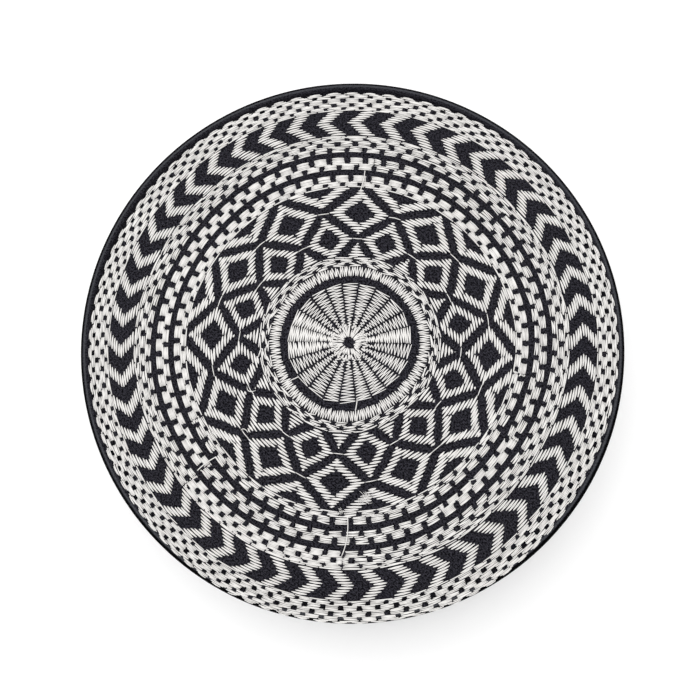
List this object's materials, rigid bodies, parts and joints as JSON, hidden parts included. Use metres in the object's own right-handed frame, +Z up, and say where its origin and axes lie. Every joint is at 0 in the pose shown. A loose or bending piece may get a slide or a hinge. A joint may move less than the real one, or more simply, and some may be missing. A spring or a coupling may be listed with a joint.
{
  "type": "kufi",
  "caption": "Stiff round cap with a shallow domed crown, an upright side band, a corded piping in the seam between them and a bound hem; hollow and open below.",
  "frame": {"origin": "middle of the hem, on the surface that the cap stands on", "axes": "+Z up through the middle of the crown, -Y to the front, +X to the wearer's left"},
  "size_m": [0.1912, 0.1912, 0.1023],
  "materials": {
    "crown_cloth": "black cotton twill with raised off-white machine embroidery",
    "piping_cloth": "black twill wrapped round a cord",
    "band_cloth": "black cotton twill with raised off-white machine embroidery",
    "binding_cloth": "black bias strip, topstitched"
  },
  "bodies": {
    "root": {"crown": "crown_cloth", "edge_piping": "piping_cloth", "side_band": "band_cloth", "hem_binding": "binding_cloth"}
  },
  "joints": []
}
